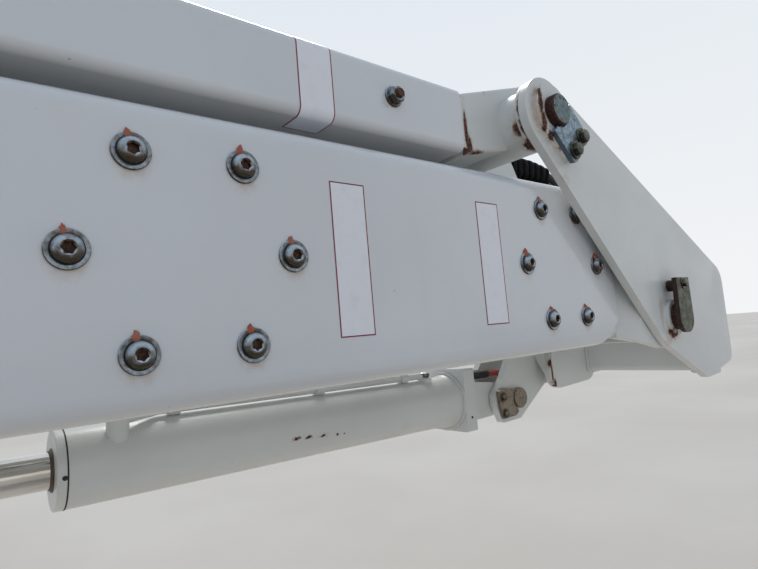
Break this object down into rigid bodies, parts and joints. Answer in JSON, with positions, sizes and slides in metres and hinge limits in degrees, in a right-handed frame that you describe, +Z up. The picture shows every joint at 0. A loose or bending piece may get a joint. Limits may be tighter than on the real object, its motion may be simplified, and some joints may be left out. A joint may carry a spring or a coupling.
{
  "type": "articulated aerial lift boom",
  "caption": "Folding two-section lift boom with a parallel link, plate elbow, side-by-side upper boom and hydraulic cylinders on a turret upright.",
  "frame": {"origin": "centre of the turntable bolt circle on the turret's underside", "axes": "+X from the turret to the elbow, +Z up, the upper boom on the +Y side"},
  "size_m": [4.4279, 0.66, 1.095],
  "materials": {
    "white_paint": "gloss white enamel, rust at weld lines",
    "gelcoat": "gloss white gel coat on glass fibre",
    "chrome_rod": "polished hard chrome",
    "pin_steel": "bare steel, oiled, rusty rims",
    "zinc_steel": "blue zinc plate",
    "hose_rubber": "black hydraulic hose",
    "red_rubber": "red hydraulic hose"
  },
  "bodies": {
    "turret": {"turret_base_plate": "white_paint", "turret_near_cheek": "white_paint", "turret_far_cheek": "white_paint", "turret_web": "white_paint", "boom_pivot_pin": "pin_steel", "link_pivot_pin": "pin_steel", "lift_base_pin": "zinc_steel"},
    "lower_boom": {"boom_base_section": "white_paint", "boom_shell": "gelcoat", "boom_tip_fitting": "white_paint", "boom_lift_bracket": "white_paint", "lift_pin_ends": "zinc_steel"},
    "parallel_link": {"link_steel_section": "white_paint", "link_shell": "gelcoat", "link_tip_fitting": "white_paint"},
    "elbow": {"elbow_near_plate": "white_paint", "elbow_far_plate": "white_paint", "elbow_outer_plate": "white_paint", "elbow_cross_tube": "white_paint", "elbow_cylinder_bracket": "white_paint", "elbow_pin": "pin_steel", "elbow_pin_flag": "pin_steel", "link_pin": "pin_steel", "link_pin_keeper": "zinc_steel", "upper_boom_pin": "pin_steel", "anchor_pin": "pin_steel", "anchor_pin_keeper": "pin_steel"},
    "upper_boom": {"upper_boom_base": "white_paint", "upper_shell": "gelcoat", "upper_tip_fitting": "white_paint", "upper_rod_bracket": "white_paint", "upper_pin_ends": "zinc_steel", "upper_boom_hoses": "hose_rubber"},
    "upper_barrel": {"upper_barrel": "white_paint", "upper_gland": "white_paint", "port_hose_red": "red_rubber", "port_hose_black": "hose_rubber"},
    "upper_rod": {"upper_rod": "chrome_rod", "upper_rod_pin": "zinc_steel"},
    "lift_barrel": {"lift_barrel": "white_paint", "lift_gland": "white_paint"},
    "lift_rod": {"lift_rod": "chrome_rod", "lift_rod_pin": "zinc_steel"}
  },
  "joints": [
    {"name": "lower_boom_pivot", "type": "hinge", "parent": "turret", "child": "lower_boom", "pos_m": [0.15, 0, 0.65], "axis": [0, -1, 0], "range_deg": [0, 85]},
    {"name": "link_pivot", "type": "hinge", "parent": "turret", "child": "parallel_link", "pos_m": [-0.206, 0, 0.992], "axis": [0, -1, 0], "range_deg": [0, 85]},
    {"name": "elbow_pivot", "type": "hinge", "parent": "lower_boom", "child": "elbow", "pos_m": [3.63, 0, 0.65], "axis": [0, -1, 0], "range_deg": [-85, 0]},
    {"name": "lift_barrel_pivot", "type": "hinge", "parent": "turret", "child": "lift_barrel", "pos_m": [0.33, 0, 0.2], "axis": [0, -1, 0], "range_deg": [0, 68.79]},
    {"name": "lift_rod_slide", "type": "slide", "parent": "lift_barrel", "child": "lift_rod", "axis": [0.9565, 0, 0.2916], "range_m": [0, 0.577]},
    {"name": "upper_boom_pivot", "type": "hinge", "parent": "elbow", "child": "upper_boom", "pos_m": [3.87, 0.206, 0.71], "axis": [0, 1, 0], "range_deg": [0, 75]},
    {"name": "upper_barrel_pivot", "type": "hinge", "parent": "elbow", "child": "upper_barrel", "pos_m": [3.5, 0.206, 0.5005], "axis": [0, 1, 0], "range_deg": [0, 81.44]},
    {"name": "upper_rod_slide", "type": "slide", "parent": "upper_barrel", "child": "upper_rod", "axis": [-0.9997, 0, 0.0244], "range_m": [0, 0.495]}
  ],
  "couplings": [
    {"joint": "link_pivot", "follows": "lower_boom_pivot", "ratio": 1},
    {"joint": "elbow_pivot", "follows": "lower_boom_pivot", "ratio": -1},
    {"joint": "lift_barrel_pivot", "follows": "lower_boom_pivot", "ratio": 0.80925},
    {"joint": "lift_rod_slide", "follows": "lower_boom_pivot", "m_per_rad": 0.3879},
    {"joint": "upper_barrel_pivot", "follows": "upper_boom_pivot", "ratio": 1.0858},
    {"joint": "upper_rod_slide", "follows": "upper_boom_pivot", "m_per_rad": 0.37697}
  ]
}
